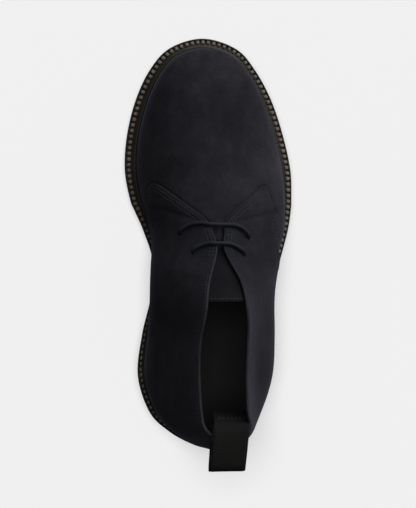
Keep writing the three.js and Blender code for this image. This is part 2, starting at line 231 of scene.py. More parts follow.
def skin_normal(k, t, joined=False):
    """The outward normal there; both halves share it along the ridge of the vamp."""
    k, t = np.broadcast_arrays(np.asarray(k, float), np.asarray(t, float))

    def at(k):
        along = skin(k + K_STEP, t, joined) - skin(k - K_STEP, t, joined)
        up = skin(k, t + T_STEP, joined) - skin(k, t - T_STEP, joined)
        return unit(np.cross(along, up))

    near = at(k)
    beside_tip = np.where(row_of(k) > TIP - BESIDE_TIP, k - BESIDE_TIP, k)
    shared = unit(at(beside_tip) + at(RING - beside_tip))
    on_ridge = (t > ON_RIDGE) & ((row_of(k) >= THROAT) | joined)
    return np.where(on_ridge[..., None], shared, near)


def t_below(k, arc):
    """The t that lies this far down the section from the crown."""
    t = np.linspace(1, 0, 160)
    return float(np.interp(arc, run_along(skin(k, t)), t))


def onto_skin(points, k, t):
    """Ring positions and t of the skin nearest to these points, from a first guess."""
    for _ in range(5):
        dk = (skin(k + K_STEP / 2, t) - skin(k - K_STEP / 2, t)) / K_STEP
        dt = (skin(k, t + T_STEP / 2) - skin(k, t - T_STEP / 2)) / T_STEP
        miss = points - skin(k, t)
        a, b, c = (dk * dk).sum(-1), (dk * dt).sum(-1), (dt * dt).sum(-1)
        p, q = (miss * dk).sum(-1), (miss * dt).sum(-1)
        det = a * c - b * b
        k = k + (c * p - b * q) / det
        t = t + (a * q - b * p) / det
    return k, t


def beside(k, t, distance):
    """The line on the skin that runs beside line (k, t), to its left as seen from outside."""
    line = skin(k, t)
    left = unit(np.cross(skin_normal(k, t), unit(np.gradient(line, axis=0))))
    return onto_skin(line + left * distance, k, t)


def catmull(points, steps):
    """A smooth line through points."""
    p = np.asarray(points, float)
    p = np.concatenate([2 * p[:1] - p[1:2], p, 2 * p[-1:] - p[-2:-1]])
    t = (np.arange(steps) / steps)[:, None]
    parts = [cubic(*four, t) for four in zip(p, p[1:], p[2:], p[3:])]
    return np.concatenate([*parts, p[-2:-1]])


def evenly(line, count=None, spacing=None, weights=1):
    """A line resampled to even steps of its weighted length."""
    run = run_along(line * np.asarray(weights))
    n = count or max(2, round(run[-1] / spacing) + 1)
    return read(line, run, np.linspace(0, run[-1], n))


# ---- Meshes
def add_object(name, data):
    added = bpy.data.objects.new(name, data)
    bpy.context.scene.collection.objects.link(added)
    return added


def to_row(points):
    p = np.asarray(points, float)
    return np.stack([SOLE_MIDDLE - p[..., 0], SOLE_LENGTH / 2 - p[..., 1], p[..., 2]], -1) / 1000


def mesh_object(name, points, faces, materials, slots=None):
    """A mesh piece from points in the shoe frame, with double points merged."""
    mesh = bpy.data.meshes.new(name)
    mesh.from_pydata(to_row(points).reshape(-1, 3).tolist(), [], faces.tolist())
    for material in materials:
        mesh.materials.append(material)
    if slots is not None:
        mesh.polygons.foreach_set("material_index", np.asarray(slots, np.int32))
    b = bmesh.new()
    b.from_mesh(mesh)
    bmesh.ops.remove_doubles(b, verts=b.verts, dist=2e-6)
    bmesh.ops.dissolve_degenerate(b, dist=1e-6, edges=b.edges)
    bmesh.ops.recalc_face_normals(b, faces=b.faces)
    b.to_mesh(mesh)
    b.free()
    mesh.polygons.foreach_set("use_smooth", [True] * len(mesh.polygons))
    return add_object(name, mesh)


def loft_faces(count, size, endless=False, cap=False):
    """Quads between rings of points, and the ring segment that each one is on."""
    index = np.arange(count * size).reshape(count, size)
    if endless:
        index = np.vstack([index, index[:1]])
    a, b = index[:-1], index[1:]
    quads = np.stack([a, b, np.roll(b, -1, 1), np.roll(a, -1, 1)], -1).reshape(-1, 4)
    segments = np.tile(np.arange(size), len(a))
    if cap:
        half = np.arange(size // 2 - 1)
        ends = [np.stack([e + half, e + half + 1, e + size - 2 - half, e + size - 1 - half], -1)
                for e in (0, (count - 1) * size)]
        quads = np.concatenate([quads, *ends])
        segments = np.concatenate([segments, np.zeros(2 * len(half), int)])
    return quads, segments


def loft(name, rings, materials, edge_segments=(), endless=False, cap=False):
    """A closed piece from rings of points. edge_segments take the second material."""
    quads, segments = loft_faces(len(rings), rings.shape[1], endless, cap)
    return mesh_object(name, rings, quads, materials, np.isin(segments, edge_segments))


def shell_rings(outer, inner, roll=0.3):
    """Rings of a sheet: up its outer face, over a rounded rim, down its inner face and round below."""
    top_mid = (outer[:, -1] + inner[:, -1]) / 2 + unit(outer[:, -1] - outer[:, -2]) * roll
    low_mid = (outer[:, 0] + inner[:, 0]) / 2 + unit(outer[:, 0] - outer[:, 1]) * roll
    return np.concatenate([outer, top_mid[:, None], inner[:, ::-1], low_mid[:, None]], 1)


def rim_segments(size):
    """The segments of shell_rings that lie on the top rim and on the bottom rim."""
    return (size - 1, size), (2 * size, 2 * size + 1)


def tube(name, line, radius, material, sides, relief=None):
    """A round cord along a line, with closed ends. relief gives its radius from angle and run."""
    line = np.asarray(line)
    along = unit(np.gradient(line, axis=0))
    side = unit(np.cross(along[0], [0.3, 0.2, 1]))
    angle = np.arange(sides) * 2 * np.pi / sides
    rings = []
    for p, direction, s in zip(line, along, run_along(line)):
        side = unit(side - direction * (side @ direction))
        up = np.cross(direction, side)
        r = radius if relief is None else relief(angle, s)
        r = np.broadcast_to(r, angle.shape)[:, None]
        rings.append(p + side * np.cos(angle)[:, None] * r + up * np.sin(angle)[:, None] * r)
    ends = np.repeat(line[[0, -1]][:, None], sides, 1)
    return loft(name, np.concatenate([ends[:1], rings, ends[1:]]), [material])


def grains(name, centres, along, up, size, material):
    """Rounded stitches, joined in one mesh. size is each one's (length, width, height)."""
    sides, profile = 8, ((-0.5, 0), (-0.47, 0.66), (-0.34, 1), (0.34, 1), (0.47, 0.66), (0.5, 0))
    along = unit(along)
    across = unit(np.cross(up, along))
    up = np.cross(along, across)
    size = np.broadcast_to(size, (len(centres), 3))
    angle = np.arange(sides) * 2 * np.pi / sides
    rings = []
    for share, reach in profile:
        a = along * (share * size[:, :1])
        b = across[:, None] * (np.cos(angle)[None, :, None] * reach * size[:, None, 1:2] / 2)
        c = up[:, None] * (np.sin(angle)[None, :, None] * reach * size[:, None, 2:3] / 2)
        rings.append(centres[:, None] + a[:, None] + b + c)
    points = np.stack(rings, 1)
    quads, _ = loft_faces(len(profile), sides)
    block = len(profile) * sides
    faces = (quads[None] + (np.arange(len(centres)) * block)[:, None, None]).reshape(-1, 4)
    return mesh_object(name, points, faces, [material])


WANDER = 0.06  # how far each stitch turns out of its row
BED = 0.05  # stitches lie this far off the suede


def stitch_row(line, normals, pitch, sink=0.0):
    """Centres, directions and normals of the stitches along a line."""
    run = run_along(line)
    n = int(run[-1] / pitch)
    at = (np.arange(n) + 0.5) * run[-1] / n
    middle, normal = read(line, run, at), read(normals, run, at)
    along = unit(read(line, run, at + 0.4) - read(line, run, at - 0.4))
    along = along + RANDOM.normal(0, WANDER, along.shape)
    return middle - unit(normal) * sink, along, normal


def stacked(parts):
    return [np.concatenate(values) for values in zip(*parts)]


# ---- Materials
def new_material(name):
    material = bpy.data.materials.new(name)
    material.use_nodes = True
    tree = material.node_tree
    return material, tree, tree.nodes["Principled BSDF"]


def settle(tree, node, values):
    """Links or sets each of these inputs of a node."""
    for name, value in values.items():
        if hasattr(value, "links"):
            tree.links.new(value, node.inputs[name])
        else:
            node.inputs[name].default_value = value
    return node


def position(tree, stretch=(1, 1, 1)):
    """Object coordinates in metres, squeezed by stretch."""
    place = tree.nodes.new("ShaderNodeTexCoord")
    squeeze = tree.nodes.new("ShaderNodeMapping")
    settle(tree, squeeze, {"Vector": place.outputs["Object"], "Scale": stretch})
    return squeeze.outputs["Vector"]


def noise(tree, vector, size, detail=3.0, roughness=0.55):
    """Noise with features of the given size in metres."""
    texture = tree.nodes.new("ShaderNodeTexNoise")
    settle(tree, texture, {"Vector": vector, "Scale": 1 / size, "Detail": detail, "Roughness": roughness})
    return texture.outputs["Fac"]


def ramp(tree, value, stops):
    """A colour ramp; stops are (place, (r, g, b)) in linear colour."""
    node = tree.nodes.new("ShaderNodeValToRGB")
    elements = node.color_ramp.elements
    while len(elements) < len(stops):
        elements.new(0.5)
    for element, (place, colour) in zip(elements, stops):
        element.position = place
        element.color = (*colour, 1)
    tree.links.new(value, node.inputs["Fac"])
    return node.outputs["Color"]


def grey_ramp(tree, value, *stops):
    return ramp(tree, value, [(place, (tone,) * 3) for place, tone in stops])


def mix(tree, share, a, b, kind="MIX"):
    node = tree.nodes.new("ShaderNodeMix")
    node.data_type = "RGBA"
    node.blend_type = kind
    return settle(tree, node, {"Factor": share, 6: a, 7: b}).outputs[2]


def bump(tree, height, distance, strength, **before):
    node = tree.nodes.new("ShaderNodeBump")
    settle(tree, node, {"Height": height, "Distance": distance, "Strength": strength, **before})
    return node.outputs["Normal"]


# Painted highlights, lighter patches on the vamp's outer side and on the toe where the light falls: centre in
# the shoe frame, radius in metres and gain.
PAINTED_HIGHLIGHTS = (((54, 200, 30), 0.075, 1.75), ((4, 284, 36), 0.055, 1.45))


def painted_highlight(tree, base, centre, radius, gain):
    """A painted highlight: the colour made lighter round a place on the boot."""
    apart = tree.nodes.new("ShaderNodeVectorMath")
    apart.operation = "DISTANCE"
    settle(tree, apart, {0: position(tree), 1: to_row(centre)})
    share = tree.nodes.new("ShaderNodeMapRange")
    share.interpolation_type = "SMOOTHSTEP"
    settle(tree, share, {"Value": apart.outputs["Value"], "From Max": radius, "To Min": 1, "To Max": 0})
    lighter = mix(tree, 1.0, base, (gain,) * 3 + (1,), "MULTIPLY")
    return mix(tree, share.outputs["Result"], base, lighter)


def suede_material(name, dark, light, sheen):
    """Brushed nap: broad patches laid this way and that, short strokes, and fine fibres, with painted
    highlights on the vamp's outer side and the toe.
    """
    material, tree, shader = new_material(name)
    patches = noise(tree, position(tree), 0.034, 4.0, 0.6)
    strokes = noise(tree, position(tree, (1.0, 0.45, 1.0)), 0.0065, 4.0, 0.65)
    nap = noise(tree, position(tree), 0.0007, 3.0, 0.7)
    base = ramp(tree, patches, ((0.33, dark), (0.72, light)))
    base = mix(tree, 0.5, base, grey_ramp(tree, strokes, (0.3, 0.62), (0.75, 1.35)), "MULTIPLY")
    base = mix(tree, 0.8, base, grey_ramp(tree, nap, (0.3, 0.6), (0.72, 1.4)), "MULTIPLY")
    # painted highlights: the suede made lighter on the vamp's outer side and the toe
    for centre, radius, gain in PAINTED_HIGHLIGHTS:
        base = painted_highlight(tree, base, centre, radius, gain)
    fine = bump(tree, nap, 0.00022, 0.7)
    settle(tree, shader, {
        "Base Color": base, "Roughness": grey_ramp(tree, strokes, (0, 0.84), (1, 0.98)),
        "Specular IOR Level": 0.12, "Sheen Weight": sheen, "Sheen Roughness": 0.42,
        "Sheen Tint": (0.52, 0.54, 0.68, 1), "Normal": bump(tree, strokes, 0.0007, 0.35, Normal=fine),
    })
    return material


def plain_material(name, dark, light, grain, roughness, depth, specular):
    """Leather, rubber or thread: a grain of one size in colour, roughness and height."""
    material, tree, shader = new_material(name)
    value = noise(tree, position(tree), grain, 4.0, 0.6)
    broad = noise(tree, position(tree), grain * 22, 2.0, 0.5)
    colour = mix(tree, 0.5, ramp(tree, value, ((0.3, dark), (0.7, light))),
                 ramp(tree, broad, ((0.3, dark), (0.7, light))))
    gloss = grey_ramp(tree, value, (0.2, roughness - 0.1), (0.8, roughness + 0.1))
    settle(tree, shader, {
        "Base Color": colour, "Roughness": gloss, "Specular IOR Level": specular,
        "Normal": bump(tree, value, depth, 0.8),
    })
    return material


def webbing_material():
    """Fine warp threads that cross the modelled ribs."""
    material, tree, shader = new_material("webbing")
    weave = tree.nodes.new("ShaderNodeTexWave")
    weave.bands_direction = "X"
    settle(tree, weave, {"Vector": position(tree), "Scale": 1 / 0.0042, "Distortion": 1.2})
    fuzz = noise(tree, position(tree), 0.0006, 3.0, 0.6)
    threads = mix(tree, 0.5, weave.outputs["Color"], fuzz)
    base = ramp(tree, threads, ((0.2, (0.0016, 0.0016, 0.0014)), (0.85, (0.0058, 0.0057, 0.0050))))
    settle(tree, shader, {
        "Base Color": base, "Roughness": 0.78, "Specular IOR Level": 0.16, "Sheen Weight": 0.06,
        "Normal": bump(tree, threads, 0.00012, 0.8),
    })
    return material


NAVY = suede_material("suede", (0.0128, 0.0125, 0.0156), (0.0282, 0.0275, 0.0350), 0.2)
# The tongue's suede is a darker copy of the suede: painted shade, where the facings shade the tongue.
TONGUE_SUEDE_PAINTED_SHADE = suede_material("tongue_suede_painted_shade", (0.0068, 0.0066, 0.0084), (0.0145, 0.0141, 0.0180), 0.1)
# Each has its dark and light colour, the size of its grain in metres, roughness, relief and specular.
RAW_EDGE = plain_material(
    "raw_suede_edge", (0.019, 0.0195, 0.0235), (0.046, 0.047, 0.055), 0.0005, 0.9, 0.0002, 0.2)
THREAD = plain_material(
    "tonal_thread", (0.017, 0.018, 0.022), (0.045, 0.046, 0.055), 0.0003, 0.6, 0.0001, 0.35)
WELT = plain_material("welt", (0.009, 0.0072, 0.0052), (0.036, 0.028, 0.0195), 0.0006, 0.52, 0.00008, 0.45)
WELT_THREAD = plain_material(
    "welt_thread", (0.085, 0.075, 0.06), (0.35, 0.32, 0.265), 0.0004, 0.7, 0.00015, 0.3)
RUBBER = plain_material(
    "outsole_rubber", (0.005, 0.0045, 0.004), (0.013, 0.012, 0.0105), 0.0004, 0.62, 0.00006, 0.4)
LINING = plain_material(
    "lining", (0.006, 0.0055, 0.005), (0.0135, 0.0125, 0.0115), 0.0009, 0.72, 0.00008, 0.3)
# The insole's own grey is made lighter with painted light, which stands in for light from above that reaches
# into the boot.
SOCK_WITH_PAINTED_LIGHT = plain_material("insole", (0.020, 0.0193, 0.0187), (0.037, 0.036, 0.035), 0.0011, 0.55, 0.00007, 0.35)
LACE = plain_material("lace", (0.0085, 0.011, 0.0145), (0.024, 0.03, 0.037), 0.0005, 0.75, 0.0001, 0.3)
WEBBING = webbing_material()

# ---- Camera
# It looks down on the boot, leaning to the medial side, with the toe at the top of the picture.
LOOK_AT = (-0.8, 143.1, 20)
LEAN = math.radians(8)
DISTANCE = 1.320  # metres
LENS = 126.2


def make_camera():
    data = bpy.data.cameras.new("camera")
    data.sensor_width = 36
    data.lens = LENS
    camera = add_object("camera", data)
    back = Vector((math.sin(LEAN), 0, math.cos(LEAN)))
    right, up = Vector((-math.cos(LEAN), 0, math.sin(LEAN))), Vector((0, -1, 0))
    turn = Matrix((right, up, back)).transposed().to_4x4()
    camera.matrix_world = Matrix.Translation(Vector(to_row(LOOK_AT)) + back * DISTANCE) @ turn
    bpy.context.scene.camera = camera


make_camera()

# ---- Seams of the quarters
# Places on the skin as (row, t). The top line leaves the facing and turns down the front edge to the
# corner; the low line runs forward from the welt along the side to the same corner.
QUARTERS = {
    "lateral": {
        "top": ((6, 1), (7, 1), (8, 1), (8.7, 1), (9.25, 0.992), (9.62, 0.968), (9.91, 0.935), (10.08, 0.895),
                (10.26, 0.835), (10.45, 0.737), (10.61, 0.647), (10.70, 0.59), (10.68, 0.552)),
        "low": ((6, 0), (6.3, 0), (6.6, 0.06), (6.9, 0.22), (7.25, 0.38), (7.7, 0.465), (8.2, 0.495),
                (8.7, 0.5), (9.04, 0.499), (9.95, 0.497), (10.3, 0.518), (10.55, 0.54), (10.68, 0.552)),
    },
    "medial": {
        "top": ((6, 1), (7, 1), (8, 1), (8.65, 1), (9.1, 0.985), (9.45, 0.95), (9.78, 0.90), (9.95, 0.857),
                (10.06, 0.81), (10.25, 0.712), (10.42, 0.619), (10.54, 0.534), (10.62, 0.46), (10.6, 0.385)),
        "low": ((6, 0), (6.8, 0), (7.5, 0), (8.0, 0.02), (8.41, 0.11), (8.85, 0.2), (9.24, 0.248),
                (10.03, 0.288), (10.38, 0.325), (10.6, 0.385)),
    },
}
SEAM_WEIGHTS = (20, 75)  # millimetres for one row and for t from 0 to 1
FRONT_COLUMNS = 170
SIDE_COLUMNS = 110
PANEL_STEPS = 56
SKIRT = -0.02  # the suede goes on a little below the welt's top
LINE_STEPS = 24  # between two places of a seam
SEAM_SAMPLES = 500
SETTLE = 25  # the quarters reach the last this far behind the seam


def seam_line(side, name, count):
    """A seam's (k, t) with k on the right half of the ring."""
    line = evenly(catmull(QUARTERS[side][name], LINE_STEPS), count=count, weights=SEAM_WEIGHTS)
    return on_side(line[:, 0], side), np.clip(line[:, 1], SKIRT, 1)


def seam_points():
    """Points along the edges where the quarters lie on the vamp, on both sides."""
    found = []
    for side in QUARTERS:
        for name in ("top", "low"):
            k, t = seam_line(side, name, SEAM_SAMPLES)
            keep = (t < ON_RIDGE) & (t > 1 - ON_RIDGE)
            found.append(skin(k[keep], t[keep]))
    return np.concatenate(found)


SEAM = seam_points()


def seam_distance(points):
    flat = points.reshape(-1, 3)
    best = np.full(len(flat), 1e9)
    for chunk in np.array_split(SEAM, 24):
        best = np.minimum(best, ((flat[:, None] - chunk[None]) ** 2).sum(-1).min(1))
    return np.sqrt(best).reshape(points.shape[:-1])


def under_quarter(k, t):
    """Which of these places the quarters cover."""
    covered = np.zeros(np.shape(k), bool)
    row = row_of(k)
    for side in QUARTERS:
        here = (np.mod(k, RING) <= TIP) == (side == "lateral")
        top = catmull(QUARTERS[side]["top"][:-1], 12)
        low = catmull(QUARTERS[side]["low"], 12)
        above = np.interp(row, top[:, 0], top[:, 1], right=-1)
        below = np.interp(row, low[:, 0], low[:, 1], right=2)
        covered |= here & (t >= below) & ((t <= above) | (row < 8.6))
    return covered


# Soft folds: (ring position, t) of both ends, depth and half width in millimetres.
# A negative depth is a ridge.
FOLDS = (
    ((7.7, 0.86), (7.1, 0.55), 0.9, 6.5),
    ((6.9, 0.88), (6.5, 0.52), -0.5, 6.0),
    ((6.2, 0.62), (4.9, 0.50), 0.8, 8.0),
    ((5.4, 0.92), (3.4, 0.80), -0.55, 7.0),
    ((4.6, 0.72), (3.0, 0.62), 0.6, 8.0),
    ((24.4, 0.84), (24.9, 0.52), 0.8, 6.5),
    ((25.6, 0.66), (27.0, 0.50), 0.8, 8.0),
    ((26.6, 0.90), (28.6, 0.80), -0.5, 7.0),
    ((27.6, 0.66), (29.2, 0.58), 0.5, 8.0),
    ((11.15, 0.93), (11.5, 0.52), 0.3, 5.5),
    ((20.9, 0.93), (20.5, 0.55), 0.3, 5.5),
)


def folds(points):
    """How far the folds move each point along its normal."""
    moved = np.zeros(points.shape[:-1])
    share = np.linspace(0, 1, 16)
    strength = np.sin(np.pi * (0.12 + 0.76 * share)) ** 1.2
    for start, end, depth, width in FOLDS:
        k, t = (a + (b - a) * share for a, b in zip(start, end))
        gap = ((points[..., None, :] - skin(k, t)) ** 2).sum(-1)
        moved -= depth * (strength * np.exp(-gap / (2 * width * width))).max(-1)
    return moved


def quarter_height(points):
    """The quarters stand on the vamp at the seam and settle onto the last behind it."""
    return OVERLAP * (1 - smooth(seam_distance(points) / SETTLE)) + folds(points)


# ---- The upper
def quarter_lines():
    """The top and the low line of both quarters in one, round the heel from lateral to medial corner."""
    heel = np.linspace(6, -6, SIDE_COLUMNS + 2)[1:-1]
    lines = []
    for name, level in (("top", 1.0), ("low", SKIRT)):
        k1, t1 = seam_line("lateral", name, FRONT_COLUMNS)
        k2, t2 = seam_line("medial", name, FRONT_COLUMNS)
        k = np.concatenate([k1[::-1], heel, k2 - RING])
        t = np.concatenate([t1[::-1], np.full(len(heel), level), t2])
        t[(t < 0.001) & (name == "low")] = SKIRT
        lines.append((k, t))
    return lines


EDGE_ROUND = {"depth": 0.3, "width": 0.5}  # the rounding of a cut edge
# The closed back seam: a fine groove with a soft swell on both sides.
BACK_SEAM = {"swell": 0.28, "aside": 2.4, "spread": 1.5, "groove": 0.55, "half": 0.7}


def make_quarters():
    (top_k, top_t), (low_k, low_t) = quarter_lines()
    even = np.linspace(0, 1, PANEL_STEPS)
    share = 0.75 * (1 - np.cos(np.pi * even)) / 2 + 0.25 * even
    k = low_k[:, None] + (top_k - low_k)[:, None] * share
    t = low_t[:, None] + (top_t - low_t)[:, None] * share
    points, normals = skin(k, t), skin_normal(k, t)
    height = quarter_height(points)
    away = np.linalg.norm(points - skin(top_k, top_t)[:, None], axis=-1)
    on_seam = np.minimum(away, seam_distance(points))
    height -= EDGE_ROUND["depth"] * bell(on_seam, EDGE_ROUND["width"])
    across = np.linalg.norm(points - skin(0, t), axis=-1)
    height += BACK_SEAM["swell"] * bell(across - BACK_SEAM["aside"], BACK_SEAM["spread"])
    height -= BACK_SEAM["groove"] * bell(across, BACK_SEAM["half"])
    outer = points + normals * height[..., None]
    inner = points + normals * (height - SUEDE)[..., None]
    rings = shell_rings(outer, inner, 0.25)
    top_rim, low_rim = rim_segments(PANEL_STEPS)
    cut_edges = (PANEL_STEPS - 2, *top_rim, *low_rim, 0)
    return loft("quarters", rings, [NAVY, RAW_EDGE], cut_edges)


VAMP_BACK = {"lateral": (5.8, 8.45), "medial": (7.0, 8.45)}  # its last rows, at the welt and at the ridge
VAMP_COLUMNS = 190
VAMP_STEPS = 60
CREVICE = {"lateral": 1.4, "medial": 0.5, "ahead": 0.45, "half": 0.85}  # before the quarters' edge
TONGUE_ROOT = {"row": 10.15, "rows": 1.7, "depth": 2.4}  # where the vamp dips under the facings


def make_vamp():
    t = np.concatenate([[SKIRT], np.linspace(0, 1, VAMP_STEPS - 1)])
    share = np.linspace(1, 0, VAMP_COLUMNS)[:, None] ** 0.95
    halves = []
    for side, (low, high) in VAMP_BACK.items():
        back = low + (high - low) * smooth(t * 1.6 - 0.1)
        halves.append(on_side(TIP - share * (TIP - back), side))
    k = np.concatenate([halves[0], halves[1][::-1][1:]])
    t = np.broadcast_to(t, k.shape)
    points, normals = skin(k, t, True), skin_normal(k, t, True)
    seam = seam_distance(points)
    signed = np.where(under_quarter(k, t), seam, -seam)
    deepest = np.where(np.mod(k, RING) < TIP, CREVICE["lateral"], CREVICE["medial"])
    crevice = deepest * bell(signed + CREVICE["ahead"], CREVICE["half"])
    depth = (SUEDE - OVERLAP + 0.05) * smooth((signed + 1.2) / 1.4) + crevice
    sink = smooth((TONGUE_ROOT["row"] - row_of(k)) / TONGUE_ROOT["rows"])
    depth = np.maximum(depth, TONGUE_ROOT["depth"] * sink * smooth((t - 0.6) / 0.3))
    height = folds(points) * smooth((-signed + 4) / 12) - depth
    outer = points + normals * height[..., None]
    thin = SUEDE - np.maximum(0.7 * sink, 0.72 * crevice)
    inner = points + normals * (height - thin)[..., None]
    # The ridge is one line, so it has no rim: each half closes on the other.
    rings = np.concatenate([outer, inner[:, ::-1]], 1)
    quads, segments = loft_faces(len(rings), 2 * VAMP_STEPS, cap=True)
    return mesh_object("vamp", rings, quads[segments != VAMP_STEPS - 1], [NAVY])


LINING_COLUMNS = 260
LINING_STEPS = 30
LINING_TOP = 0.9  # below the raw edge of the collar
LINING_GAP = 0.05


def make_lining():
    k = np.arange(LINING_COLUMNS) * RING / LINING_COLUMNS
    edge_t = np.array([t_below(x, LINING_TOP) for x in k])
    top = edge_t + (0.8 - edge_t) * smooth((row_of(k) - 8.5) / 1.0)
    share = np.linspace(0, 1, LINING_STEPS)
    t = SKIRT + (top[:, None] - SKIRT) * share
    points, normals = skin(k[:, None], t), skin_normal(k[:, None], t)
    moved = folds(points)
    outer = points + normals * (moved - SUEDE - LINING_GAP)[..., None]
    inner = points + normals * (moved - WALL)[..., None]
    return loft("lining", shell_rings(outer, inner, 0.2), [LINING], endless=True)


# Each lace: ring row of its eyelets and of its bow's middle, and how far the eyelets are down each side.
LACES = (
    {"name": "lace_front", "eyelet": 8.22, "bow": 9.28, "lateral": 23, "medial": 31},
    {"name": "lace_rear", "eyelet": 7.66, "bow": 8.2, "lateral": 16, "medial": 20},
)


def eyelet(lace, side):
    """An eyelet's place on the skin with the normal there."""
    k = on_side(lace["eyelet"], side)
    t = t_below(k, lace[side])
    return skin(k, t), skin_normal(k, t)


PIN = {"in": 6, "out": 5, "sides": 28}  # what cuts an eyelet hole


def punch(piece):
    """Cuts the four eyelet holes."""
    pins = []
    for lace in LACES:
        for side in QUARTERS:
            place, normal = eyelet(lace, side)
            axis = [place - normal * PIN["in"], place + normal * PIN["out"]]
            pins.append(tube("pin", axis, EYELET_RADIUS, NAVY, PIN["sides"]))
    with bpy.context.temp_override(active_object=pins[0], selected_editable_objects=pins):
        bpy.ops.object.join()
    cut = piece.modifiers.new("eyelets", "BOOLEAN")
    cut.operation = "DIFFERENCE"
    cut.solver = "EXACT"
    cut.object = pins[0]
    bpy.context.view_layer.update()
    seen = piece.evaluated_get(bpy.context.evaluated_depsgraph_get())
    piece.data = bpy.data.meshes.new_from_object(seen)
    piece.modifiers.clear()
    bpy.data.objects.remove(pins[0])


# ---- Sole
STITCH_PITCH = 4.3
STITCH_SAMPLES = 8
RIDGE_WIDTH = 2.6
RIDGE_HEIGHT = 1.4
NOTCH = {"depth": 0.55, "width": 0.13}  # between two stitches; the width is a share of the pitch
BAND_START = 0.9  # the stitched band lies between the welt's rounded edge and its ridge
BAND_SUNK = 0.3
THREAD_LENGTH = (2.35, 2.75)
THREAD_HEIGHT = (0.95, 1.2)
THREAD_SUNK = 0.12


def even_ring(count):
    """Ring positions at even steps round the sole's edge."""
    k = np.linspace(0, RING, 2001)
    run = run_along(edge(k))
    return np.interp(np.arange(count) * run[-1] / count, run, k), run[-1]


def welt_bands(k):
    """Insets from the edge: the stitch line, half its width, and where the ridge starts, rolls and ends."""
    inner = ring_value("ledge", k) - GAP
    storm = 0.25 + 0.75 * smooth((row_of(k) - 2.5) / 3)
    rise = crown(k, False)[..., 2] - welt_top(ring_value("along", k))
    swell = np.maximum(0, ring_value("belly", k) / (ring_value("full", k) * rise)) * RIDGE_HEIGHT
    width = RIDGE_WIDTH * (0.4 + 0.6 * storm)
    start = inner - width - swell * storm
    band = start - BAND_START
    centre = BAND_START + 0.43 * band + 0.5 * (1 - storm)
    half = np.clip(0.37 * band, 0.6, 1.5)
    return centre, half, start, inner - swell * storm, inner, storm * RIDGE_HEIGHT


def make_welt():
    _, length = even_ring(8)
    stitches = round(length / STITCH_PITCH)
    count = stitches * STITCH_SAMPLES
    k, _ = even_ring(count)
    centre, half, start, roll, inner, ridge = welt_bands(k)
    phase = (np.arange(count) % STITCH_SAMPLES) / STITCH_SAMPLES
    notch = NOTCH["depth"] * bell(phase - 0.5, NOTCH["width"])
    bed = -BAND_SUNK - notch
    # Insets and heights, up the edge with its fine line, across the stitch bed and over the ridge.
    profile = (
        (0, -WELT_THICKNESS), (0, -1.9), (0.12, -1.7), (0, -1.5), (0, -0.6), (0.2, -0.15), (0.65, 0),
        (centre - half - 0.25, 0), (centre - half, bed), (centre, bed), (centre + half, bed),
        (centre + half + 0.2, -0.02), (start, 0.05), (start + 0.25 * (roll - start), ridge * 0.62),
        (start + 0.5 * (roll - start), ridge * 0.94), (start + 0.75 * (roll - start), ridge),
        (roll, ridge * 0.92), (inner, 0), (inner, -WELT_THICKNESS),
    )
    rings = []
    for insets, heights in profile:
        plan = inset(k, insets)
        rings.append(at_height(plan, welt_top(plan[:, 1]) + heights))
    welt = loft("welt_body", np.stack(rings, 1), [WELT], endless=True)
    # One thick stitch between each two notches.
    k = k[::STITCH_SAMPLES]
    centre, half, *_ = welt_bands(k)
    plan = inset(k, centre)
    centres = at_height(plan, welt_top(plan[:, 1]) - THREAD_SUNK)
    ahead, behind = inset(k + K_STEP, centre), inset(k - K_STEP, centre)
    along = at_height(ahead - behind, welt_top(ahead[:, 1]) - welt_top(behind[:, 1]))
    along = unit(along) + RANDOM.normal(0, 0.05, along.shape) * (1, 1, 0.3)
    sizes = [RANDOM.uniform(*THREAD_LENGTH, len(k)), 1.9 * half, RANDOM.uniform(*THREAD_HEIGHT, len(k))]
    threads = grains("welt_stitches", centres, along, (0, 0, 1), np.stack(sizes, -1), WELT_THREAD)
    return welt, threads


LUG_RIM = 9
RIM_LEAST = 2.6
GROOVE = {"width": 4, "depth": 2.6, "pitch": 12}
GROOVE_CHAMFER = 0.5
SIDE_INSET = 1  # the welt stands out past the rubber
WALL_LEAN = 1.2  # how far the wall leans in at the floor
HEEL_LEAN = 2.6  # and at the heel
BREAST_CUT = {"depth": 3.0, "length": 16}  # off the heel's front corners
MIDSOLE_LINE = {"depth": 0.55, "drop": 2.0, "half": 0.4}  # a slim groove round the wall
CHANNEL = {"half": 2.2, "share": 0.7}  # along the middle of the tread; its floor's share of the width


def groove_centres():
    heel = np.arange(GROOVE["pitch"] * 1.5, HEEL_BREAST - GROOVE["width"], GROOVE["pitch"])
    fore = np.arange(TREAD_START + GROOVE["pitch"] / 2, SOLE_LENGTH - GROOVE["pitch"], GROOVE["pitch"])
    return np.concatenate([heel, fore])


def row_at(y):
    """The row whose edge lies at this station."""
    rows = np.linspace(0, TIP, 1601)
    return np.interp(y, ring_value("along", rows), rows)


def sole_stations():
    """Stations from heel to toe: closer at both tips, and at the walls of each groove."""
    angle = np.linspace(0, np.pi, 150)[1:-1]
    even = SOLE_LENGTH * (1 - np.cos(angle)) / 2
    half = GROOVE["width"] / 2
    walls = groove_centres()[:, None] + (-half, GROOVE_CHAMFER - half, half - GROOVE_CHAMFER, half)
    walls = np.concatenate([walls.ravel(), HEEL_BREAST + np.array((-0.8, 0, 0.6))])
    even = even[np.abs(even[:, None] - walls).min(1) > 0.5]
    return np.unique(np.round(np.concatenate([even, walls]), 4))


def in_groove(y):
    away = np.abs(y[:, None] - groove_centres()).min(1)
    return np.clip((GROOVE["width"] / 2 - away) / GROOVE_CHAMFER, 0, 1)


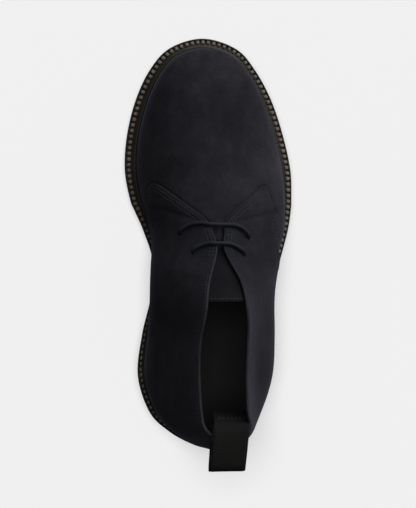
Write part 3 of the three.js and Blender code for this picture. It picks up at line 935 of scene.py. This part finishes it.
def make_outsole():
    y = sole_stations()
    row = row_at(y)
    heel = smooth((HEEL_BREAST + 0.6 - y) / 0.6)
    bottom = np.where(heel > 0.5, 0, underside(y))
    depth = GROOVE["depth"] * in_groove(y)
    back = smooth((HEEL_BREAST + 0.3 - y) / 0.3)
    corner = smooth((y - HEEL_BREAST + BREAST_CUT["length"]) / BREAST_CUT["length"]) ** 2
    lean = WALL_LEAN + (HEEL_LEAN - WALL_LEAN) * back + BREAST_CUT["depth"] * back * corner
    sides = []
    for k in (row, RING - row):
        top = []
        line, half = MIDSOLE_LINE["drop"], MIDSOLE_LINE["half"]
        for deep_in, drop in ((0, 0), (0, half - line), (MIDSOLE_LINE["depth"], -line), (0, -line - half)):
            plan = inset(k, SIDE_INSET + deep_in)
            top.append(at_height(plan, sole_top(plan[:, 1]) + drop))
        for round_in, rise in ((0, 1.6), (0.35, 0.5), (1.3, 0.0)):
            top.append(at_height(inset(k, SIDE_INSET + lean + round_in), bottom + rise))
        width = np.abs(edge(row)[:, 0] - edge(RING - row)[:, 0])
        rim = lean + np.maximum(RIM_LEAST, np.minimum(LUG_RIM, 0.3 * width))
        for extra, cut in ((0, 0), (GROOVE_CHAMFER, 1)):
            top.append(at_height(inset(k, rim + extra), bottom + depth * cut))
        sides.append(top)
    middle = (sides[0][-1] + sides[1][-1]) / 2
    split = np.array([CHANNEL["half"], 0, 0])
    deep = np.array([0, 0, GROOVE["depth"] * 0.7])
    channel = (smooth((y - TREAD_START) / 10) * smooth((SOLE_LENGTH - 22 - y) / 8))[:, None]
    floor = split * CHANNEL["share"]
    rings = [*sides[0], middle + split, middle + floor + deep * channel,
             middle - floor + deep * channel, middle - split, *sides[1][::-1]]
    return loft("outsole_tread", np.stack(rings, 1), [RUBBER], cap=True)


SOCK_SHARES = (1, 0.985, 0.93, 0.8, 0.6, 0.4, 0.2, 0)  # of the way from the middle to the wall
SOCK_RISE = 1.6  # at its rim, over its middle
SOCK_EDGE = 0.8  # the rim's rounding


def make_sock():
    """The padded sock over the insole, dished a little to the foot."""
    stations = SOLE_LENGTH * (1 - np.cos(np.linspace(0, np.pi, 120)[1:-1])) / 2
    row = row_at(stations)
    halves = []
    for k in (row, RING - row):
        outline = inset(k, ring_value("ledge", k) + WALL + 2 * GAP)
        wall = ring_value("ledge", row) + WALL
        spine = (inset(row, wall) + inset(RING - row, wall)) / 2
        half = []
        for share in SOCK_SHARES:
            plan = spine + (outline - spine) * share
            z = welt_top(plan[:, 1]) + INSOLE_ABOVE_WELT + SOCK_RISE * share**4
            half.append(at_height(plan, z - SOCK_EDGE * (share == 1)))
        base = at_height(outline, sole_top(outline[:, 1]) + GAP)
        halves.append([base, *half])
    rings = [*halves[0], *halves[1][::-1][1:]]
    return loft("sock", np.stack(rings, 1), [SOCK_WITH_PAINTED_LIGHT], cap=True)


# ---- Tongue, laces and pull loop
TONGUE = {"clearance": 0.8, "reach": 12, "crown": 0.09, "top": 6.35, "root": 11.3}
TONGUE_COLUMNS = 110
TONGUE_ACROSS = 45
DIP = {"depth": 0.7, "half": 0.3}  # pressed in down its middle; the half width is a share of the tongue's
FINE_PITCH = 2.6


def tongue_sheet(depth):
    """A layer of the tongue, at this depth under the facings' skin."""
    rows = np.linspace(TONGUE["top"], TONGUE["root"], TONGUE_COLUMNS)
    sheet = []
    for row in rows:
        points = []
        for k in (row, RING - row):
            for share in (1, 0.6, 0.2):
                t = t_below(k, share * TONGUE["reach"])
                points.append(skin(k, t) - skin_normal(k, t) * depth)
        left, right = points[:3], points[5:2:-1]
        ridge = (left[-1] + right[0]) / 2
        ridge = ridge + (0, 0, TONGUE["crown"] * np.linalg.norm(left[-1] - right[0]))
        sheet.append(evenly(catmull([*left, ridge, *right], 8), count=TONGUE_ACROSS))
    return np.array(sheet)


def make_tongue():
    top = tongue_sheet(WALL + TONGUE["clearance"])
    low = tongue_sheet(WALL + TONGUE["clearance"] + TONGUE_THICKNESS)
    share = np.linspace(0, 1, TONGUE_COLUMNS)[:, None]
    across = np.linspace(-1, 1, TONGUE_ACROSS)[None]
    dip = DIP["depth"] * bell(across, DIP["half"]) * smooth(share / 0.1) * smooth((0.75 - share) / 0.3)
    top[..., 2] -= dip
    low[..., 2] -= dip
    rings = np.concatenate([top, low[:, ::-1]], 1)
    size = TONGUE_ACROSS
    quads, segments = loft_faces(len(rings), 2 * size, cap=True)
    slots = np.isin(segments, (size - 1, 2 * size - 1)).astype(int)
    slots[2 - 2 * size : 1 - size] = 1  # the cap at its free end
    tongue = mesh_object("tongue_suede_painted_shade", rings, quads, [TONGUE_SUEDE_PAINTED_SHADE, RAW_EDGE], slots)
    down = unit(np.cross(np.gradient(top[3], axis=0), top[5] - top[3]))
    down = down * np.sign(down[:, 2:3])
    centres, along, up = stitch_row(top[2][3:-3], down[3:-3], FINE_PITCH, -BED)
    return tongue, grains("tongue_stitches", centres, along, up, (1.9, 0.55, 0.5), THREAD)


LACE_GAP = {"edge": 0.35, "middle": 0.75, "front": 0.4}  # off the suede; the front lace lies higher
STRANDS = 8
STRAND_PITCH = 3.4  # from one strand to the next along the lace
LACE_SHARES = (0.93, 0.8, 0.55, 0.3, 0.1)  # of the way from the bow's middle to the eyelet


def braid(angle, run):
    """The radius of a round braided lace: two families of strands that cross."""
    turn = run / STRAND_PITCH * 2 * np.pi / STRANDS
    strand = np.maximum(np.cos(STRANDS * (angle + turn)), np.cos(STRANDS * (angle - turn)))
    return LACE_RADIUS * (0.96 + 0.075 * strand)


def make_lace(lace):
    """A bar of the lace, from inside one eyelet to inside the other."""
    halves = []
    for side in QUARTERS:
        place, normal = eyelet(lace, side)
        points = [place - normal * 2.3, place - normal * 1.0]
        for share in LACE_SHARES:
            row = lace["bow"] + (lace["eyelet"] - lace["bow"]) * share**1.5
            k = on_side(row, side)
            t = t_below(k, share * lace[side])
            over = LACE_RADIUS + LACE_GAP["edge" if share == LACE_SHARES[0] else "middle"]
            points.append(skin(k, t) + skin_normal(k, t) * (over + LACE_GAP["front"] * (lace is LACES[0])))
        halves.append(points)
    line = evenly(catmull(halves[0] + halves[1][::-1], 16), spacing=0.28)
    return tube(lace["name"] + "_cord", line, LACE_RADIUS, LACE, 32, braid)


LOOP_WIDTH = 25
LOOP_THICKNESS = 1.6
# The strap from its end inside the collar over to the fold and down the back: out, rise and across
# from the back of the collar, and how straight it is: 0 follows the collar's round.
LOOP_ROUTE = (
    (-16, -28, 4.0, 0.7), (-13, -17, 3.4, 0.6), (-10.4, -7, 2.1, 0.5), (-7.4, 0.6, 0.6, 0.2),
    (-3, 5, -0.5, 0.2), (6, 9.4, -2.3, 0.7), (14.5, 11.8, -3.8, 1), (18.2, 11.4, -4.2, 1),
    (19.2, 9.2, -4.2, 1), (17, 6.2, -3.8, 1), (11.5, 2.4, -2.8, 0.7), (5, -3.4, -1.2, 0.1),
)
LOOP_SEWN = (8, 13, 19, 26)  # distances below the collar
SEWN_ASIDE = 0.6  # how far the sewn end stands to the outer side of the back seam
SEWN_SHARE = 0.93  # of the strap's width, drawn in by its stitches
LOOP_ACROSS = 13
RIB_PITCH = 1.25
RIB_HEIGHT = 0.28
RIB_STEPS = 6
SEWN_ROWS = (0.83, 0.985)  # the box's rows, as shares of the strap's length
INNER_ROWS = (0.10, 0.13)


def loop_middle():
    """The strap's middle surface, rows along it and points across it."""
    back = crown(0.0, False)
    spread = np.linspace(-0.5, 0.5, LOOP_ACROSS) * LOOP_WIDTH

    def ring_at(x, arc):
        low, high = -3.0, 3.0
        for _ in range(20):
            mid = (low + high) / 2
            if skin(mid, t_below(mid, arc) if arc else 1.0)[0] < back[0] + x:
                low = mid
            else:
                high = mid
        return low

    rounds = np.array([crown(ring_at(x, 0), False)[1] for x in spread])
    rows = []
    for out, rise, across, straight in LOOP_ROUTE:
        y = rounds + (back[1] - rounds) * straight - out
        rows.append(np.stack([back[0] + spread + across, y, np.full_like(spread, back[2] + rise)], -1))
    for arc in LOOP_SEWN:
        row = []
        for x in spread:
            k = ring_at(x * SEWN_SHARE + SEWN_ASIDE, arc)
            t = t_below(k, arc)
            row.append(skin(k, t) + skin_normal(k, t) * (3 * GAP + LOOP_THICKNESS / 2))
        rows.append(np.array(row))
    return np.array(rows)


def make_loop():
    coarse = loop_middle()
    spacing = RIB_PITCH / RIB_STEPS
    lines = [evenly(catmull(coarse[:, j], LINE_STEPS), spacing=spacing) for j in range(LOOP_ACROSS)]
    count = max(len(line) for line in lines)
    sheet = np.stack([evenly(line, count=count) for line in lines], 1)
    along = unit(np.gradient(sheet, axis=0))
    across = unit(np.gradient(sheet, axis=1))
    normal = unit(np.cross(across, along))
    run = np.arange(count) * RIB_PITCH / RIB_STEPS
    rib = (np.abs(np.cos(np.pi * run / RIB_PITCH)) - 0.5)[:, None] * RIB_HEIGHT
    u = np.linspace(-1, 1, LOOP_ACROSS)
    selvedge = 0.18 * bell(np.abs(u) - 0.93, 0.05) - 0.25 * (np.abs(u) > 0.99)
    half = LOOP_THICKNESS / 2 + rib + selvedge
    front, back = sheet + normal * half[..., None], sheet - normal * half[..., None]
    strap = loft("pull_strap", np.concatenate([front, back[:, ::-1]], 1), [WEBBING], cap=True)
    # Stitches: a box on the sewn end, and two rows inside the collar.
    facing = normal * np.sign(-normal[-1, LOOP_ACROSS // 2, 1])
    skinned = sheet + facing * (half[..., None] + BED)
    rows = [int(count * share) for share in SEWN_ROWS]
    sides = [(slice(*rows, 4), j) for j in (1, -2)]
    places = [*((r, slice(1, -1)) for r in rows), *sides]
    places += [(int(count * share), slice(1, -1)) for share in INNER_ROWS]
    parts = [stitch_row(skinned[at], facing[at], FINE_PITCH) for at in places]
    return strap, grains("pull_loop_stitches", *stacked(parts), (2.0, 0.6, 0.55), THREAD)


# ---- Stitching of the upper
ROWS_FROM_EDGE = (2.6, 5.0)
STITCH = (2.0, 0.55, 0.5)
UPPER_PITCH = 2.7
ROW_SAMPLES = 240
FACING_START = 70  # the first sample of the top line that is stitched, above the rear lace
COLLAR_END = 7.2  # the row where the collar's own stitches end


def sewn_row(k, t):
    """The stitches of one row on the quarters."""
    points, normals = skin(k, t), skin_normal(k, t)
    raised = points + normals * (quarter_height(points) + BED)[:, None]
    return stitch_row(raised, normals, UPPER_PITCH)


def make_seams():
    """Double rows along facings, front edges and side edges, and one row round the collar."""
    parts = []
    for side in QUARTERS:
        sign = 1 if side == "lateral" else -1
        for distance in ROWS_FROM_EDGE:
            k, t = seam_line(side, "top", ROW_SAMPLES)
            k, t = k[FACING_START:-3], np.minimum(t[FACING_START:-3], 0.9995)
            k, t = beside(k, t, -distance * sign)
            parts.append(sewn_row(k, t))
            k, t = seam_line(side, "low", ROW_SAMPLES)
            keep = t > 0.02
            k, t = beside(k[keep], t[keep], distance * sign)
            parts.append(sewn_row(k[:-6], t[:-6]))
    k = np.linspace(COLLAR_END, -COLLAR_END, 300)
    t = np.array([t_below(x, ROWS_FROM_EDGE[0]) for x in k])
    parts.append(sewn_row(k, t))
    return grains("upper_stitches", *stacked(parts), STITCH, THREAD)


# ---- Floor and light
FLOOR_GLOW = 0.36  # its own light, which keeps the shadows faint
FLOOR_TONE = (0.425, 0.435)


def make_floor():
    b = bmesh.new()
    bmesh.ops.create_grid(b, x_segments=4, y_segments=4, size=6)
    mesh = bpy.data.meshes.new("floor")
    b.to_mesh(mesh)
    b.free()
    floor = add_object("floor", mesh)
    material, tree, shader = new_material("floor")
    tone = noise(tree, position(tree), 0.4, 2.0)
    settle(tree, shader, {
        "Base Color": grey_ramp(tree, tone, *zip((0, 1), FLOOR_TONE)), "Roughness": 1.0,
        "Specular IOR Level": 0.0, "Emission Color": (1, 1, 1, 1), "Emission Strength": FLOOR_GLOW,
    })
    mesh.materials.append(material)
    floor.visible_diffuse = False
    floor.visible_glossy = False
    return floor


FILL = 0.05  # the room's own light
# Each lamp: the row frame's direction to it, its width as an angle, and its strength.
KEY = {"towards": (-0.47, -0.82, 0.48), "width": 80, "strength": 2.45}
TOP = {"towards": (0.14, 0, 1), "width": 34, "strength": 0.3}
OVERHEAD = {"towards": (0.15, -0.05, 1), "width": 27, "strength": 3.62}


def make_lamp(name, lamp, floor, floor_only):
    """A soft lamp for the boot alone, or for the floor alone."""
    data = bpy.data.lights.new(name, "SUN")
    data.energy = lamp["strength"]
    data.angle = math.radians(lamp["width"])
    light = add_object(name, data)
    light.rotation_euler = Vector(lamp["towards"]).to_track_quat("Z", "Y").to_euler()
    lit = bpy.data.collections.new(name + "_lights")
    lit.objects.link(floor)
    lit.collection_objects[0].light_linking.link_state = "INCLUDE" if floor_only else "EXCLUDE"
    light.light_linking.receiver_collection = lit


def make_light(floor):
    """A dim white room, a key lamp from the toe's outer side, and lamps above for boot and floor."""
    world = bpy.data.worlds.new("world")
    bpy.context.scene.world = world
    world.use_nodes = True
    tree = world.node_tree
    settle(tree, tree.nodes["Background"], {"Color": (1, 1, 1, 1), "Strength": FILL})
    make_lamp("key", KEY, floor, False)
    make_lamp("top", TOP, floor, False)
    make_lamp("overhead", OVERHEAD, floor, True)


# ---- Assembly
def place(piece, slot, *nodes):
    """The piece rides with the boot and stands for these nodes of the frame. Its slot is not used."""
    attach(piece, "root")
    if nodes:
        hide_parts(*nodes)


quarters = make_quarters()
lining = make_lining()
punch(quarters)
punch(lining)
place(quarters, "suede", "upper")
place(make_vamp(), "suede", "upper")
place(lining, "suede", "upper")
welt_body, welt_threads = make_welt()
place(welt_body, "welt", "welt")
place(welt_threads, "welt")
place(make_outsole(), "outsole_rubber", "outsole")
place(make_sock(), "insole", "insole")
tongue_piece, tongue_threads = make_tongue()
place(tongue_piece, "suede", "tongue")
place(tongue_threads, "suede")
for bar in LACES:
    place(make_lace(bar), "lace", bar["name"])
strap, strap_threads = make_loop()
place(strap, "webbing", "pull_loop")
place(strap_threads, "webbing")
place(make_seams(), "suede")
make_light(make_floor())
bpy.context.scene.view_settings.view_transform = "Standard"
